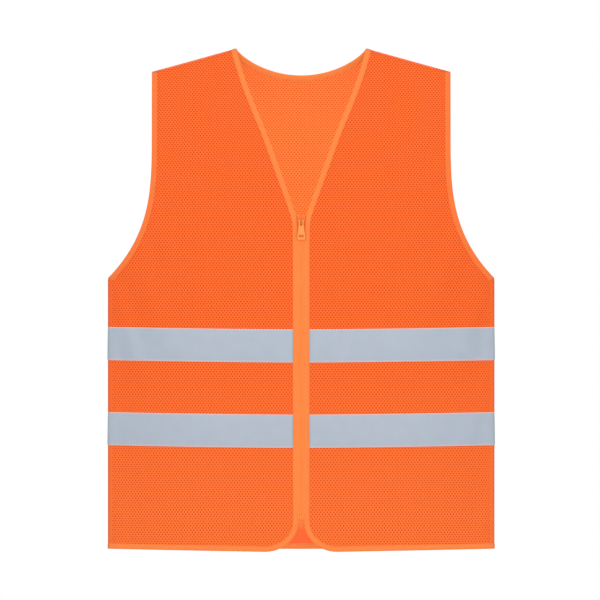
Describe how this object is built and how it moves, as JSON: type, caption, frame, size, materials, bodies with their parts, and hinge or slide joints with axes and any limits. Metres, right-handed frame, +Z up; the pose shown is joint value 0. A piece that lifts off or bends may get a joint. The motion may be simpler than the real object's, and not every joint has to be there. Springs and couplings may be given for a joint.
{
  "type": "high visibility vest",
  "caption": "Sleeveless V-neck mesh vest with a front zip, bound edges and two reflective bands round the body.",
  "frame": {"origin": "midway between the neck ends of the two shoulder seams, on the line a hanger or the shoulders carry", "axes": "+Z up, the front with the zip faces -Y, +X is the wearer's left"},
  "size_m": [0.581, 0.1396, 0.7558],
  "materials": {
    "mesh": "fluorescent orange polyester mesh knit, matt",
    "binding": "fluorescent orange woven binding tape, folded over the edge",
    "reflective": "silver glass-bead reflective tape, sewn on along both edges",
    "seam": "overlocked mesh edges",
    "zip_tape": "orange woven zip tape",
    "nylon": "dyed nylon coil and moulded zip ends",
    "painted_zip": "orange paint, satin",
    "film": "clear orange reinforcing film on the tape ends"
  },
  "bodies": {
    "shell": {"back_panel": "mesh", "back_neck_binding": "binding", "back_hem_binding": "binding", "upper_band_back": "reflective", "lower_band_back": "reflective", "left_front_side_panel": "mesh", "left_upper_band_side": "reflective", "left_lower_band_side": "reflective", "left_upper_neck_binding": "binding", "left_side_hem_binding": "binding", "left_armhole_binding": "binding", "left_side_seam": "seam", "left_shoulder_seam": "seam", "right_front_side_panel": "mesh", "right_upper_band_side": "reflective", "right_lower_band_side": "reflective", "right_upper_neck_binding": "binding", "right_side_hem_binding": "binding", "right_armhole_binding": "binding", "right_side_seam": "seam", "right_shoulder_seam": "seam"},
    "left_flap": {"left_front_flap_panel": "mesh", "left_upper_band_flap": "reflective", "left_lower_band_flap": "reflective", "left_flap_binding": "binding", "left_zip_tape": "zip_tape", "left_zip_coil": "nylon", "left_zip_top_stop": "painted_zip", "left_zip_end_film": "film", "zip_retainer_box": "nylon", "zip_retainer_pin": "nylon"},
    "right_flap": {"right_front_flap_panel": "mesh", "right_upper_band_flap": "reflective", "right_lower_band_flap": "reflective", "right_flap_binding": "binding", "right_zip_tape": "zip_tape", "right_zip_coil": "nylon", "right_zip_top_stop": "painted_zip", "right_zip_end_film": "film", "zip_insertion_pin": "nylon"},
    "slider": {"zip_slider_body": "painted_zip", "zip_slider_bridge": "painted_zip", "zip_slider_lock_spring": "painted_zip"},
    "pull": {"zip_pull_tab": "painted_zip"}
  },
  "joints": [
    {"name": "left_front_fold", "type": "hinge", "parent": "shell", "child": "left_flap", "pos_m": [0.052, -0.06928, -0.12], "axis": [-0.1973, -0.0101, 0.9803], "range_deg": [0, 165]},
    {"name": "right_front_fold", "type": "hinge", "parent": "shell", "child": "right_flap", "pos_m": [-0.052, -0.06928, -0.12], "axis": [-0.1973, 0.0101, -0.9803], "range_deg": [0, 165]},
    {"name": "zip_slide", "type": "slide", "parent": "left_flap", "child": "slider", "axis": [0, 0, -1], "range_m": [0, 0.4385], "deforming": ["left_zip_coil", "right_zip_coil"]},
    {"name": "pull_swing", "type": "hinge", "parent": "slider", "child": "pull", "pos_m": [0, -0.07009, -0.2582], "axis": [-1, 0, 0], "range_deg": [0, 170]}
  ]
}
